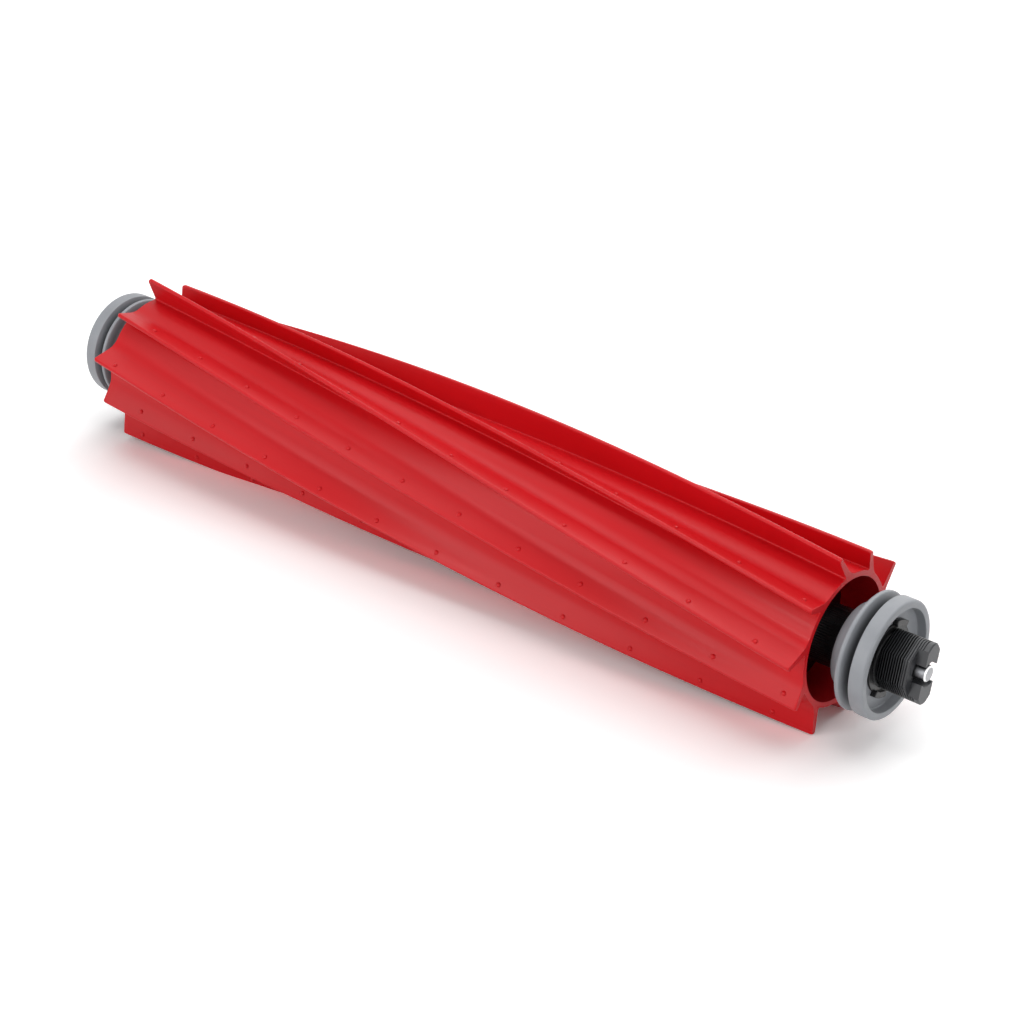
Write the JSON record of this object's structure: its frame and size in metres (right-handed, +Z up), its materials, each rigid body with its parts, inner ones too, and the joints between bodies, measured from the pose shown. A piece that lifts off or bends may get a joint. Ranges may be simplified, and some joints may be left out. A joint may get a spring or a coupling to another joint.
{
  "type": "robot vacuum roller brush",
  "caption": "Finned red rubber roller brush of a robot vacuum, with grey hair guard rings, a hexagonal drive socket and a pull-off bearing block on a steel pin",
  "frame": {"origin": "on the axle, in the plane of the drive end's rim", "axes": "+X along the axle from the drive end to the bearing end, +Z up, lying on the floor"},
  "size_m": [0.1958, 0.0352, 0.0335],
  "materials": {
    "red_rubber": "satin",
    "grey_plastic": "satin",
    "black_plastic": "satin",
    "block_plastic": "satin",
    "plated_steel": "satin",
    "bearing_steel": "satin",
    "brass": "satin",
    "felt": "matte"
  },
  "bodies": {
    "roller": {"brush_sleeve": "red_rubber", "core_tube": "black_plastic", "drive_end_plug": "black_plastic", "bearing_end_plug": "black_plastic", "drive_guard_ring": "grey_plastic", "bearing_guard_ring": "grey_plastic", "drive_socket": "black_plastic", "drive_socket_screw": "plated_steel", "pin_insert": "brass", "axle_pin": "plated_steel", "lock_collar": "black_plastic", "bearing_spacer": "brass", "dust_seal": "felt"},
    "bearing_core": {"bearing_inner_ring": "bearing_steel"},
    "ball_cage": {"ball_cage": "bearing_steel"},
    "grip_block": {"bearing_block": "block_plastic", "bearing_outer_ring": "bearing_steel", "inboard_shield": "bearing_steel", "outboard_shield": "bearing_steel", "bearing_clip": "bearing_steel"}
  },
  "joints": [
    {"name": "block_pull_off", "type": "slide", "parent": "roller", "child": "bearing_core", "axis": [1, 0, 0], "range_m": [0, 0.005]},
    {"name": "block_spin", "type": "hinge", "parent": "bearing_core", "child": "grip_block", "pos_m": [0.19165, 0, 0], "axis": [1, 0, 0], "continuous": true},
    {"name": "cage_spin", "type": "hinge", "parent": "bearing_core", "child": "ball_cage", "pos_m": [0.19165, 0, 0], "axis": [1, 0, 0], "continuous": true}
  ],
  "couplings": [
    {"joint": "cage_spin", "follows": "block_spin", "ratio": 0.5809}
  ]
}
